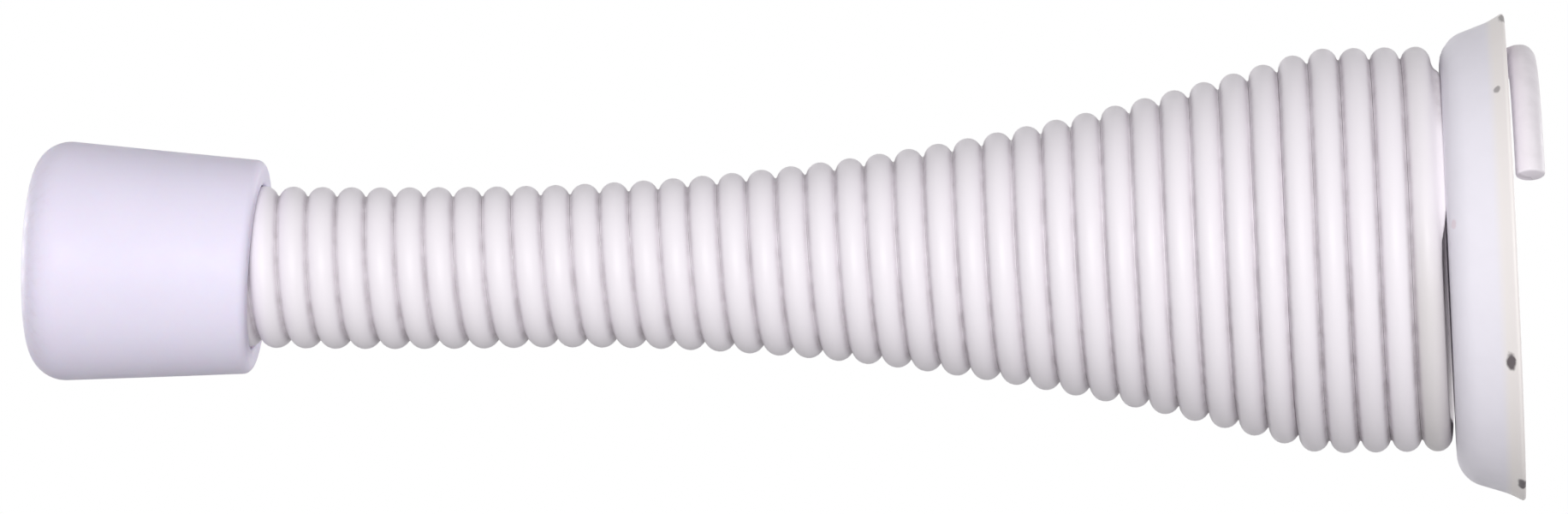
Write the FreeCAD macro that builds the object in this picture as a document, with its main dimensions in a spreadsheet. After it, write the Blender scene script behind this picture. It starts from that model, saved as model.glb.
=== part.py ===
"""Spring door stop: a trumpet coil of enamelled wire, a pressed base cup and a push-on vinyl tip.

Sizes are millimetres and degrees. The origin is the centre of the base's rim, which meets the wall.
+X points into the wall, the tip is toward -X and +Z is up. Angles round the coil start at the top and
grow toward the front, which is the -Y side.
"""
import FreeCAD, Part
import math
import os
import Sketcher

DRIVING_SIZES = {
    # Wire and coil, with radii to the wire's centre line
    "wire_diameter": 1.54,
    "turn_gap": 0.04,
    "wide_turn_gap": 0.1,
    "narrow_radius": 3.56,
    "wide_radius": 9.99,
    "hidden_length": 7.9,
    "neck_length": 14.06,
    "flare_length": 42.6,
    "wide_length": 5.8,
    # Where the coil sits on the base, and its tail behind it
    "seat_gap": 0.33,
    "spring_lift": 0.52,
    "spring_lean": 1.5,
    "ramp_start": 300,
    "ramp_angle": 65,
    "tail_setback": 0.5,
    "tail_angle": 68,
    # Base cup
    "rim_radius": 13.02,
    "lip_length": 0.9,
    "lip_flare": 0.5,
    "front_corner_radius": 11.62,
    "base_depth": 3.55,
    "sheet_thickness": 0.8,
    "shoulder_radius": 1.8,
    "rim_edge_radius": 0.15,
    "screw_hole_radius": 2.25,
    "slot_clearance": 0.25,
    "slot_lead": 20,
    "slot_end_margin": 7,
    # Bumper tip
    "tip_length": 12.16,
    "tip_end_radius": 6.53,
    "tip_mouth_radius": 5.71,
    "tip_corner_radius": 1.9,
    "tip_lip_radius": 0.5,
    "tip_cant": 3.0,
    "socket_clearance": 0.03,
    "socket_end_gap": 0.1,
}

DERIVED_SIZES = {
    "turn_pitch": "=wire_diameter + turn_gap",
    "wide_pitch": "=wire_diameter + wide_turn_gap",
    "seat_place": "=-(base_depth + seat_gap + wire_diameter / 2)",
    "flare_end": "=seat_place - wide_length",
    "flare_start": "=flare_end - flare_length",
    "mouth_place": "=flare_start - neck_length",
    "coil_end": "=mouth_place - hidden_length",
    "wall_end_radius": "=rim_radius - lip_flare",
    "inner_shoulder_radius": "=shoulder_radius - sheet_thickness",
    "slot_width": "=wire_diameter + 2 * slot_clearance",
    "slot_height": "=spring_lift + base_depth * tan(spring_lean * 1 deg)",
    # The slot runs from before the wire would touch the plate to where its ramp has left the sheet.
    # A smooth ramp is 1.5 times as steep at its middle as an even one.
    "lean_reach": "=wide_radius * sin(spring_lean * 1 deg)",
    "slot_start": "=90 + 360 * (seat_gap + lean_reach) / wide_pitch - slot_lead",
    "ramp_depth": "=wide_pitch * (ramp_start + ramp_angle / 2 - 90) / 360 + lean_reach - seat_gap",
    "ramp_travel": "=tail_setback - seat_place - wide_pitch * 270 / 360",
    "ramp_share": "=0.5 + ((sheet_thickness + wire_diameter - ramp_depth) / ramp_travel - 0.5) / 1.5",
    "slot_end": "=ramp_start + ramp_angle * ramp_share + slot_end_margin",
    "slot_angle": "=slot_end - slot_start",
    "slot_turn": "=(slot_start + slot_end) / 2 - 270",
    "grip_reach": "=hidden_length / 2",
    "neck_bend_radius": "=(neck_length + grip_reach) / (tip_cant * pi / 180)",
    "grip_along": "=flare_start - neck_bend_radius * sin(tip_cant * 1 deg)",
    "grip_rise": "=neck_bend_radius * (1 - cos(tip_cant * 1 deg))",
    "grip_bow": "=(grip_reach + wire_diameter / 2) ^ 2 / (2 * neck_bend_radius)",
    "socket_radius": "=narrow_radius + wire_diameter / 2 + grip_bow + socket_clearance",
    "socket_depth": (
        "=hidden_length + wire_diameter / 2"
        " + socket_radius * grip_reach / neck_bend_radius + socket_end_gap"
    ),
}

STATIONS_PER_BAND = 24
FRONT_ANGLE = 90
TOP_ANGLE = 360
DERIVATIVE_STEP = 1e-4
SEW_TOLERANCE = 1e-5
CIRCLE_POLES = ((1, 0), (1, 1), (0, 1), (-1, 1), (-1, 0), (-1, -1), (0, -1), (1, -1), (1, 0))
CIRCLE_MULTIPLICITIES = [3, 2, 2, 2, 3]
CIRCLE_KNOTS = [0, 1, 2, 3, 4]
CUT_MARGIN = 1.0


def make_sheet(doc):
    """Spreadsheet with one row for each size: its name, then its value under that name as alias."""
    sheet = doc.addObject("Spreadsheet::Sheet", "Sizes")
    for row, (name, value) in enumerate({**DRIVING_SIZES, **DERIVED_SIZES}.items(), start=1):
        sheet.set(f"A{row}", name)
        sheet.set(f"B{row}", str(value))
        sheet.setAlias(f"B{row}", name)
    doc.recompute()
    return sheet


def add_body(doc, name):
    """Empty body with its own label, and its XY plane to draw on."""
    body = doc.addObject("PartDesign::Body", name)
    body.Label = name
    plane = next(item for item in body.Origin.OriginFeatures if item.Role == "XY_Plane")
    return body, plane


def add_profile(body, plane, name, points):
    """Sketch of a closed polygon on a plane: line i runs from point i to the next one."""
    sketch = body.newObject("Sketcher::SketchObject", name)
    sketch.AttachmentSupport = [(plane, "")]
    sketch.MapMode = "FlatFace"
    ends = points[1:] + points[:1]
    for start, end in zip(points, ends):
        sketch.addGeometry(Part.LineSegment(FreeCAD.Vector(*start), FreeCAD.Vector(*end)), False)
    for line in range(len(points)):
        sketch.addConstraint(Sketcher.Constraint("Coincident", line, 2, (line + 1) % len(points), 1))
    return sketch


def add_rules(sketch, rules):
    """Rules without a value, such as a vertical line, on a sketch."""
    for rule in rules:
        sketch.addConstraint(Sketcher.Constraint(*rule))


def add_size(sketch, size, kind, *where):
    """Distance in a sketch that takes its value from the sheet."""
    value = sketch.Document.Sizes.get(size)
    index = sketch.addConstraint(Sketcher.Constraint(kind, *where, value))
    sketch.renameConstraint(index, size)
    sketch.setExpression(f"Constraints.{size}", f"Sizes.{size}")


def add_revolution(body, sketch, name):
    """Full turn of a sketch about the body's X axis."""
    turned = body.newObject("PartDesign::Revolution", name)
    turned.Profile = sketch
    turned.ReferenceAxis = (sketch, ["H_Axis"])
    turned.Angle = 360
    return turned


def add_round(body, name, size, place, radius):
    """Fillet on the circular edge at a place along X with a given radius."""
    before = body.Tip
    body.Document.recompute()
    names = [
        f"Edge{number}"
        for number, edge in enumerate(before.Shape.Edges, start=1)
        if isinstance(edge.Curve, Part.Circle)
        and abs(edge.Curve.Center.x - place) < before.Shape.Length * 1e-6
        and abs(edge.Curve.Radius - radius) < before.Shape.Length * 1e-6
    ]
    fillet = body.newObject("PartDesign::Fillet", name)
    fillet.Base = (before, names)
    fillet.setExpression("Radius", f"Sizes.{size}")


def lean_on_coil(piece, along, rise, angle):
    """Place a piece on the coil's leaning axis, along it and above it, turned up by an angle."""
    piece.Placement = FreeCAD.Placement(FreeCAD.Vector(), FreeCAD.Rotation(FreeCAD.Vector(0, 1, 0), 1))
    cosine = "cos(Sizes.spring_lean * 1 deg)"
    sine = "sin(Sizes.spring_lean * 1 deg)"
    piece.setExpression("Placement.Base.x", f"{along} * {cosine} + {rise} * {sine}")
    piece.setExpression("Placement.Base.z", f"Sizes.spring_lift - {along} * {sine} + {rise} * {cosine}")
    piece.setExpression("Placement.Rotation.Angle", angle)


def make_base_cup(doc, sizes):
    """Pressed cup: a revolved sheet section with a flared lip, and an arc slot for the wire."""
    body, plane = add_body(doc, "base_cup")
    sheet = sizes.sheet_thickness
    wall_slope = (sizes.wall_end_radius - sizes.front_corner_radius) / (sizes.base_depth - sizes.lip_length)
    lip_slope = sizes.lip_flare / sizes.lip_length
    plate_back = sheet - sizes.base_depth
    inner_rim = sizes.rim_radius - sheet * math.hypot(1, lip_slope)
    inner_wall_end = sizes.wall_end_radius - sheet * math.hypot(1, wall_slope)
    inner_corner = inner_wall_end + (plate_back + sizes.lip_length) * wall_slope
    section = add_profile(body, plane, "cup_section", [
        (0, inner_rim),
        (0, sizes.rim_radius),
        (-sizes.lip_length, sizes.wall_end_radius),
        (-sizes.base_depth, sizes.front_corner_radius),
        (-sizes.base_depth, sizes.screw_hole_radius),
        (plate_back, sizes.screw_hole_radius),
        (plate_back, inner_corner),
        (-sizes.lip_length / 2, inner_wall_end),
    ])
    add_rules(section, [
        ("PointOnObject", 0, 1, -2),
        ("Vertical", 0),
        ("Vertical", 3),
        ("Horizontal", 4),
        ("Vertical", 5),
        ("Parallel", 2, 6),
        ("Parallel", 1, 7),
    ])
    add_size(section, "rim_radius", "DistanceY", -1, 1, 0, 2)
    add_size(section, "lip_length", "DistanceX", 2, 1, -1, 1)
    add_size(section, "wall_end_radius", "DistanceY", -1, 1, 2, 1)
    add_size(section, "front_corner_radius", "DistanceY", -1, 1, 2, 2)
    add_size(section, "base_depth", "DistanceX", 3, 1, -1, 1)
    add_size(section, "screw_hole_radius", "DistanceY", -1, 1, 4, 1)
    add_size(section, "sheet_thickness", "DistanceX", 4, 1, 4, 2)
    for name, point, line in (("wall_thickness", (6, 1), 2), ("lip_thickness", (0, 1), 1)):
        index = section.addConstraint(Sketcher.Constraint("Distance", *point, line, sheet))
        section.renameConstraint(index, name)
        section.setExpression(f"Constraints.{name}", "Sizes.sheet_thickness")
    add_revolution(body, section, "cup_form")
    add_round(body, "outer_shoulder", "shoulder_radius", -sizes.base_depth, sizes.front_corner_radius)
    add_round(body, "inner_shoulder", "inner_shoulder_radius", plate_back, inner_corner)
    add_round(body, "rim_edge", "rim_edge_radius", 0, sizes.rim_radius)

    slot = add_profile(body, plane, "slot_section", [
        (-sizes.base_depth - CUT_MARGIN, sizes.wide_radius - sizes.slot_width / 2),
        (plate_back + CUT_MARGIN, sizes.wide_radius - sizes.slot_width / 2),
        (plate_back + CUT_MARGIN, sizes.wide_radius + sizes.slot_width / 2),
        (-sizes.base_depth - CUT_MARGIN, sizes.wide_radius + sizes.slot_width / 2),
    ])
    add_rules(slot, [("Horizontal", 0), ("Vertical", 1), ("Horizontal", 2), ("Vertical", 3)])
    for name, formula, kind, where in (
        ("slot_front", f"Sizes.base_depth + {CUT_MARGIN}", "DistanceX", (0, 1, -1, 1)),
        ("slot_back", f"Sizes.base_depth - Sizes.sheet_thickness - {CUT_MARGIN}", "DistanceX", (0, 2, -1, 1)),
        ("slot_inside", "Sizes.wide_radius - Sizes.slot_width / 2", "DistanceY", (-1, 1, 0, 1)),
        ("slot_outside", "Sizes.wide_radius + Sizes.slot_width / 2", "DistanceY", (-1, 1, 2, 1)),
    ):
        index = slot.addConstraint(Sketcher.Constraint(kind, *where, 1.0))
        slot.renameConstraint(index, name)
        slot.setExpression(f"Constraints.{name}", formula)
    slot.AttachmentOffset = FreeCAD.Placement(
        FreeCAD.Vector(), FreeCAD.Rotation(FreeCAD.Vector(1, 0, 0), -1)
    )
    slot.setExpression("AttachmentOffset.Base.z", "Sizes.slot_height")
    slot.setExpression("AttachmentOffset.Rotation.Angle", "Sizes.slot_turn")
    groove = body.newObject("PartDesign::Groove", "wire_slot")
    groove.Profile = slot
    groove.ReferenceAxis = (slot, ["H_Axis"])
    groove.Midplane = True
    groove.setExpression("Angle", "Sizes.slot_angle")
    return body


def make_bumper_tip(doc, sizes):
    """Moulded cap, wider toward its striking end, with a blind socket for the end of the coil.

    Its own origin is the middle of its grip on the coil, where it lies along the bent neck.
    """
    body, plane = add_body(doc, "bumper_tip")
    mouth = sizes.grip_reach
    strike = mouth - sizes.tip_length
    socket_end = mouth - sizes.socket_depth
    section = add_profile(body, plane, "tip_section", [
        (mouth, sizes.socket_radius),
        (mouth, sizes.tip_mouth_radius),
        (strike, sizes.tip_end_radius),
        (strike, 0),
        (socket_end, 0),
        (socket_end, sizes.socket_radius),
    ])
    add_rules(section, [
        ("Vertical", 0),
        ("Vertical", 2),
        ("PointOnObject", 3, 1, -1),
        ("Horizontal", 3),
        ("Vertical", 4),
        ("Horizontal", 5),
    ])
    add_size(section, "grip_reach", "DistanceX", -1, 1, 0, 1)
    add_size(section, "socket_radius", "DistanceY", -1, 1, 0, 1)
    add_size(section, "tip_mouth_radius", "DistanceY", -1, 1, 0, 2)
    add_size(section, "tip_end_radius", "DistanceY", -1, 1, 1, 2)
    add_size(section, "tip_length", "DistanceX", 3, 1, 0, 1)
    add_size(section, "socket_depth", "DistanceX", 4, 1, 0, 1)
    add_revolution(body, section, "tip_form")
    add_round(body, "striking_edge", "tip_corner_radius", strike, sizes.tip_end_radius)
    add_round(body, "mouth_lip", "tip_lip_radius", mouth, sizes.tip_mouth_radius)
    lean_on_coil(body, "Sizes.grip_along", "Sizes.grip_rise", "Sizes.spring_lean + Sizes.tip_cant")
    return body


class WirePath:
    """Centre line of the wire: a coil that flares, then passes through the base into its tail."""

    def __init__(self, sizes):
        self.sizes = sizes
        self.wide_start = -sizes.wide_length / sizes.wide_pitch
        self.ramp_from = (sizes.ramp_start - FRONT_ANGLE) / 360
        self.ramp_to = self.ramp_from + sizes.ramp_angle / 360
        self.top = (TOP_ANGLE - FRONT_ANGLE) / 360
        self.first = self.wide_start - (sizes.flare_end - sizes.coil_end) / sizes.turn_pitch
        self.last = self.top + sizes.tail_angle / 360

    def along(self, turn):
        """Place along the axis. Turns count from the front of the turn that sits on the base."""
        sizes = self.sizes
        if turn < self.wide_start:
            return sizes.flare_end + (turn - self.wide_start) * sizes.turn_pitch
        on_coil = sizes.seat_place + turn * sizes.wide_pitch
        on_tail = sizes.tail_setback + (turn - self.top) * sizes.wide_pitch
        share = (turn - self.ramp_from) / (self.ramp_to - self.ramp_from)
        share = min(max(share, 0), 1)
        return on_coil + (on_tail - on_coil) * share * share * (3 - 2 * share)

    def radius(self, along):
        """Distance from the axis: even neck, flare that grows with the square, even wide end."""
        sizes = self.sizes
        share = (along - sizes.flare_start) / sizes.flare_length
        share = min(max(share, 0), 1)
        return sizes.narrow_radius + (sizes.wide_radius - sizes.narrow_radius) * share * share

    def axis(self, along):
        """Point of the coil's axis, and its upward normal: straight, then an even bend from the neck on."""
        bend_radius = self.sizes.neck_bend_radius
        beyond = max(self.sizes.flare_start - along, 0)
        bend = beyond / bend_radius
        place = FreeCAD.Vector(
            along + beyond - bend_radius * math.sin(bend), 0, bend_radius * (1 - math.cos(bend))
        )
        return place, FreeCAD.Vector(math.sin(bend), 0, math.cos(bend))

    def outward(self, turn):
        """Direction from the axis to the wire at a turn."""
        angle = math.radians(FRONT_ANGLE + 360 * turn)
        upward = self.axis(self.along(turn))[1]
        return upward * math.cos(angle) - FreeCAD.Vector(0, 1, 0) * math.sin(angle)

    def point(self, turn):
        """Point of the centre line at a turn."""
        along = self.along(turn)
        return self.axis(along)[0] + self.outward(turn) * self.radius(along)

    def ring(self, turn):
        """Poles of the wire's round section, square to the centre line at a turn."""
        tangent = (self.point(turn + DERIVATIVE_STEP) - self.point(turn - DERIVATIVE_STEP)).normalize()
        outward = self.outward(turn)
        outward = (outward - tangent * outward.dot(tangent)).normalize()
        sideways = tangent.cross(outward)
        wire_radius = self.sizes.wire_diameter / 2
        centre = self.point(turn)
        return [centre + outward * (wire_radius * a) + sideways * (wire_radius * b) for a, b in CIRCLE_POLES]

    def ring_slopes(self, turn, step):
        """Change of each pole over one step along the wire."""
        before = self.ring(turn - DERIVATIVE_STEP)
        after = self.ring(turn + DERIVATIVE_STEP)
        return [(b - a) * (step / (2 * DERIVATIVE_STEP)) for a, b in zip(before, after)]


def wire_band(path, start, end):
    """Surface of a stretch of wire: each pole of the round section follows a smooth curve."""
    step = (end - start) / STATIONS_PER_BAND
    stations = range(STATIONS_PER_BAND + 1)
    rings = [path.ring(start + step * station) for station in stations]
    tracks = []
    for points, slope, last_slope in zip(
        zip(*rings), path.ring_slopes(start, step), path.ring_slopes(end, step)
    ):
        track = Part.BSplineCurve()
        track.interpolate(
            Points=list(points),
            Parameters=[float(station) for station in stations],
            InitialTangent=slope,
            FinalTangent=last_slope,
            Scale=False,
        )
        tracks.append(track)
    poles = [list(row) for row in zip(*[track.getPoles() for track in tracks])]
    weights = [math.sqrt(1 / (abs(a) + abs(b))) for a, b in CIRCLE_POLES]
    surface = Part.BSplineSurface()
    surface.buildFromPolesMultsKnots(
        poles, tracks[0].getMultiplicities(), CIRCLE_MULTIPLICITIES, tracks[0].getKnots(), CIRCLE_KNOTS,
        False, False, tracks[0].Degree, 2, [weights] * len(poles),
    )
    return surface


def make_coil_spring(doc, sizes):
    """Round wire along its path, in bands of at most one turn, closed by a flat cut at each end."""
    path = WirePath(sizes)
    count = math.ceil(path.last - path.first)
    step = (path.last - path.first) / count
    bands = [wire_band(path, path.first + step * i, path.first + step * (i + 1)) for i in range(count)]
    cuts = [bands[0].uIso(0), bands[-1].uIso(STATIONS_PER_BAND)]
    faces = [band.toShape() for band in bands]
    faces += [Part.Face(Part.Wire([cut.toShape()])) for cut in cuts]
    skin = Part.makeCompound(faces)
    skin.sewShape(SEW_TOLERANCE)
    solid = Part.Solid(skin.Shells[0])
    if solid.Volume < 0:
        solid.reverse()
    coil = doc.addObject("Part::Feature", "coil_spring")
    coil.Label = "coil_spring"
    coil.Shape = solid
    lean_on_coil(coil, "0", "0", "Sizes.spring_lean")
    return coil


def check_objects(doc):
    """Stop if an object of the document failed or has a broken shape."""
    for item in doc.Objects:
        if "Invalid" in item.State or "Error" in item.State:
            raise RuntimeError(f"{item.Name} failed")
        shape = getattr(item, "Shape", None)
        if shape is not None and item.isDerivedFrom("PartDesign::Feature"):
            if shape.isNull() or not shape.isValid():
                raise RuntimeError(f"{item.Name} has a broken shape")


def main():
    doc = FreeCAD.newDocument("spring_door_stop")
    sizes = make_sheet(doc)
    pieces = [make_base_cup(doc, sizes), make_coil_spring(doc, sizes), make_bumper_tip(doc, sizes)]
    doc.recompute()
    check_objects(doc)
    os.makedirs("parts", exist_ok=True)
    for piece in pieces:
        if piece.Shape.isNull() or not piece.Shape.isValid():
            raise RuntimeError(f"{piece.Label} has a broken shape")
        piece.Shape.exportStep(f"parts/{piece.Label}.step")


main()
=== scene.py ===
"""Spring door stop: enamelled trumpet coil, pressed base cup and vinyl bumper tip, in the CAD frame.

Lengths are metres. The origin is the centre of the cup's rim, +X points into the wall and the front,
which faces the camera, is the -Y side. Angles round the coil start at the top and grow toward the front.
"""
import math

import bmesh
import bpy
import numpy as np
from mathutils import Matrix, Vector


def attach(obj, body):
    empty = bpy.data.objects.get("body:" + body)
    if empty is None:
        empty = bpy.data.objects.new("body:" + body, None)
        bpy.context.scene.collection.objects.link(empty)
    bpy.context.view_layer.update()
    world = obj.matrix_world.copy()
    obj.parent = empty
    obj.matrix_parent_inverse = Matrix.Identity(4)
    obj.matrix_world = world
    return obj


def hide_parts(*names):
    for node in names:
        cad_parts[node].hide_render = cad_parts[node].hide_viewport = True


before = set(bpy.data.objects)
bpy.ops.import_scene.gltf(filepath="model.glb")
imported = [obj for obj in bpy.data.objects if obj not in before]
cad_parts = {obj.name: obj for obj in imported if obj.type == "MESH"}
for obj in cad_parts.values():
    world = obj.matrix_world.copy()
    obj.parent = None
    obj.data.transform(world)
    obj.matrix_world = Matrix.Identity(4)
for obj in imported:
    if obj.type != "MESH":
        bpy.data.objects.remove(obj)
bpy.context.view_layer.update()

bl_info = {
    "name": "Spring door stop",
    "version": (1, 0, 0),
    "blender": (4, 5, 0),
    "location": "View3D > Sidebar > Door stop",
    "description": "Builds the dressed pieces of a spring door stop over its CAD frame",
    "category": "Object",
}

MM = 0.001
FULL_CIRCLE = 360.0
# Angles round the coil, in degrees
FRONT_ANGLE = 90.0
TOP_ANGLE = 360.0
# Slope of a smooth step at its middle
RAMP_STEEPNESS = 1.5
# Turns over which the enamel between two turns thins out where one of them ends
FADE_TURNS = 0.1
# Part of a turn over which slopes along the wire are taken
SLOPE_TURNS = 1e-4
# Steps of a grid across a rounded edge, as shares of its rounding
EDGE_STEPS = np.array([0.0, 0.1, 0.3, 0.6, 1.0])
SHOULDER_POINTS = 60


def length(name, description, millimetres):
    """Property for a length, given in millimetres and kept in metres."""
    return bpy.props.FloatProperty(
        name=name, description=description, default=millimetres * MM,
        subtype="DISTANCE", unit="LENGTH", precision=5,
    )


def degrees(name, description, value):
    """Property for an angle, given in degrees and kept in radians."""
    return bpy.props.FloatProperty(
        name=name, description=description, default=math.radians(value), subtype="ANGLE", unit="ROTATION"
    )


def colour(name, description, value):
    """Property for a linear colour."""
    return bpy.props.FloatVectorProperty(
        name=name, description=description, default=value, size=3, min=0.0, max=1.0, subtype="COLOR"
    )


def whole(name, description, value):
    """Property for a number of points."""
    return bpy.props.IntProperty(name=name, description=description, default=value, min=2)


def light_level(name, description, value):
    """Property for a strength of light."""
    return bpy.props.FloatProperty(name=name, description=description, default=value, min=0.0)


class CoilSizes(bpy.types.PropertyGroup):
    """Sizes of the wire and its coil, with radii to the wire's centre line."""

    wire_diameter: length("Wire", "Diameter of the enamelled wire", 1.54)
    turn_gap: length("Turn gap", "Gap between turns of the neck and flare", 0.04)
    wide_turn_gap: length("Wide turn gap", "Gap between turns of the wide end", 0.1)
    narrow_radius: length("Neck radius", "Radius of the neck", 3.56)
    wide_radius: length("Wide radius", "Radius of the wide end", 9.99)
    hidden_length: length("Hidden length", "Length of coil inside the tip", 7.9)
    neck_length: length("Neck length", "Length of even neck outside the tip", 14.06)
    neck_bend: degrees("Neck bend", "Upward bend of the neck, from the flare to the tip's grip", 3.0)
    flare_length: length("Flare length", "Length over which the coil widens", 42.6)
    wide_length: length("Wide length", "Length of the even wide end", 5.8)
    seat_place: length("Seat", "Place of the last turn ahead of the cup", -4.65)
    lift: length("Lift", "Height of the coil's axis above the cup's axis", 0.52)
    lean: degrees("Lean", "Lean of the coil, tip upward", 1.5)
    ramp_start: degrees("Ramp start", "Angle at which the wire turns into the cup", 300.0)
    ramp_angle: degrees("Ramp angle", "Angle over which the wire passes through the cup", 65.0)
    tail_setback: length("Tail setback", "Place of the tail at the top, behind the rim", 0.5)
    tail_angle: degrees("Tail angle", "Angle from the top to the cut end of the tail", 68.0)
    cut_round: length("Cut round", "Rounding of the enamel at the cut ends", 0.12)
    film_radius: length("Film radius", "Hollow rounding of the enamel between neighbouring turns", 0.07)
    film_split: length("Film split", "Half width of the hairline that parts the enamel", 0.01)
    web_radius: length("Web radius", "Hollow rounding of the enamel between the last turn and the cup", 0.62)
    web_start: degrees("Web start", "Angle at which enamel starts to fill the gap to the cup", 14.0)
    web_end: degrees("Web end", "Angle at which enamel no longer fills the gap to the cup", 90.0)
    web_fade: degrees("Web fade", "Angle over which that enamel thins out", 12.0)
    turn_stations: whole("Stations", "Sections of wire in each turn", 72)
    film_points: whole("Film points", "Points on each hollow rounding", 6)
    outer_points: whole("Outer points", "Points on the wire's open side", 9)
    inner_points: whole("Inner points", "Points on the wire's inner side", 9)
    cut_points: whole("Cut points", "Points on the rounding of each cut end", 5)


class CupSizes(bpy.types.PropertyGroup):
    """Sizes of the pressed base cup."""

    rim_radius: length("Rim radius", "Radius at which the lip's outer side reaches the wall", 13.02)
    lip_length: length("Lip length", "Length of the flared lip along the axis", 0.9)
    lip_flare: length("Lip flare", "Widening of the lip over its length", 0.5)
    lip_blend: length("Lip blend", "Half length of the bend from wall to lip", 0.3)
    corner_radius: length("Corner", "Radius at which wall and front plate would meet", 11.62)
    depth: length("Depth", "Depth of the cup from its rim to its front", 3.55)
    sheet: length("Sheet", "Thickness of the sheet", 0.8)
    shoulder_radius: length("Shoulder", "Rounding between front plate and wall", 1.8)
    rim_edge: length("Rim edge", "Rounding of the rim's outer edge", 0.15)
    inner_rim_edge: length("Inner rim edge", "Rounding of the rim's inner edge", 0.1)
    hole_radius: length("Screw hole", "Radius of the screw hole", 2.25)
    cut_round: length("Cut round", "Rounding of the enamel at the hole and the slot", 0.14)
    slot_clearance: length("Slot clearance", "Room beside the wire in its slot", 0.25)
    slot_lead: degrees("Slot lead", "Start of the slot before the wire would touch the plate", 20.0)
    slot_margin: degrees("Slot margin", "Length of the slot past the wire's way out", 7.0)
    sides: whole("Sides", "Points round the cup", 330)


class TipSizes(bpy.types.PropertyGroup):
    """Sizes of the bumper tip."""

    tip_length: length("Length", "Length of the tip", 12.16)
    end_radius: length("End radius", "Radius at the striking end", 6.53)
    mouth_radius: length("Mouth radius", "Radius at the mouth", 5.71)
    corner_radius: length("Corner", "Rounding of the striking edge", 1.9)
    lip_radius: length("Lip", "Rounding of the mouth's outer edge", 0.5)
    inner_lip_radius: length("Inner lip", "Rounding of the mouth's inner edge", 0.2)
    socket_radius: length("Socket radius", "Radius of the blind socket", 4.392)
    socket_depth: length("Socket depth", "Depth of the blind socket", 8.82)
    mouth_skew: degrees("Mouth skew", "Slant of the soft mouth, its top drawn further over the coil", 2.0)
    sides: whole("Sides", "Points round the tip", 160)


class Finishes(bpy.types.PropertyGroup):
    """Colours of the finishes."""

    enamel: colour("Wire enamel", "White baked enamel on the wire", (0.92, 0.875, 0.925))
    # Darker tone for the lower half of the turn beside the cup
    darker_beside_cup: colour("Dulled enamel", "Duller enamel on the turn beside the cup", (0.75, 0.715, 0.72))
    cup_white: colour("Cup enamel", "Cooler white enamel on the cup", (0.885, 0.855, 0.935))
    yellowed: colour("Yellowed enamel", "Cream tone of the enamel on the lip", (0.94, 0.885, 0.85))
    stain: colour("Stain", "Rosy stain on the cup's shoulder", (0.78, 0.6, 0.66))
    # Colour for dust between the turns, and for the painted shade in the creases, toward the bottom and on
    # the tail
    grime_and_shade: colour("Grime", "Dust and grime that sits between the turns", (0.5, 0.455, 0.49))
    bare_steel: colour("Bare steel", "Steel where the enamel has chipped off", (0.12, 0.1, 0.11))
    vinyl: colour("Vinyl", "Lavender white vinyl of the tip", (0.84, 0.79, 0.95))
    scuff: colour("Scuff", "Scuffs on the striking end", (0.66, 0.58, 0.66))


class StageSizes(bpy.types.PropertyGroup):
    """Camera, lights and floor."""

    camera_distance: length("Camera distance", "Distance from the aim point", 500.0)
    camera_azimuth: degrees("Azimuth", "Turn of the camera toward the cup", 3.8)
    camera_roll: degrees("Roll", "Tilt of the cup's axis in the picture", 2.64)
    aim_along: length("Aim along", "Aim point along X", -38.87)
    aim_up: length("Aim up", "Aim point along Z", 1.79)
    frame_width: length("Frame width", "Width of the picture at the aim point", 83.75)
    floor_drop: length("Floor drop", "Floor below the cup's axis", 45.0)
    floor_radius: length("Floor radius", "Radius of the round floor", 450.0)
    floor_sides: whole("Floor sides", "Points round the floor", 96)
    floor_glow: light_level("Floor glow", "Paleness that the floor has for the camera alone", 0.5)
    key_azimuth: degrees("Key azimuth", "Turn of the front light toward the cup", 3.8)
    rear_azimuth: degrees("Rear azimuth", "Turn of each rear light from the front", 132.0)
    lamp_elevation: degrees("Lamp elevation", "Height of the lights", 4.5)
    lamp_spread: degrees("Lamp spread", "Angle that each light fills, which softens its shadows", 21.0)
    key_power: light_level("Key power", "Strength of the front light", 2.2)
    rear_power: light_level("Rear power", "Strength of each rear light", 1.0)
    ambient: light_level("Ambient", "Strength of the light from all round", 0.33)


def arc(centre, radius, start, end, count):
    """Points of an arc in the profile plane: centre plus radius at angles spread evenly, in degrees."""
    angles = np.radians(np.linspace(start, end, count))
    return np.stack([centre[0] + radius * np.cos(angles), centre[1] + radius * np.sin(angles)], axis=1)


def run(start, end, count):
    """Points spread evenly on a straight run, without its two ends."""
    share = np.linspace(0.0, 1.0, count + 2)[1:-1, None]
    return np.asarray(start) * (1 - share) + np.asarray(end) * share


def eased(share):
    """Smooth step from 0 to 1, held at its ends: three squares of the share less two cubes."""
    share = np.clip(share, 0.0, 1.0)
    return share * share * (3 - 2 * share)


def ring_faces(rings, around):
    """Quads between neighbouring rings, each closed round itself."""
    ring, side = np.meshgrid(np.arange(rings - 1), np.arange(around), indexing="ij")
    after = (side + 1) % around
    quads = np.stack([
        ring * around + side,
        ring * around + after,
        (ring + 1) * around + after,
        (ring + 1) * around + side,
    ], axis=-1)
    return quads.reshape(-1, 4)


def smooth_object(name, mesh):
    """Object of a smooth mesh, linked into the scene."""
    mesh.shade_smooth()
    made = bpy.data.objects.new(name, mesh)
    bpy.context.scene.collection.objects.link(made)
    return made


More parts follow.
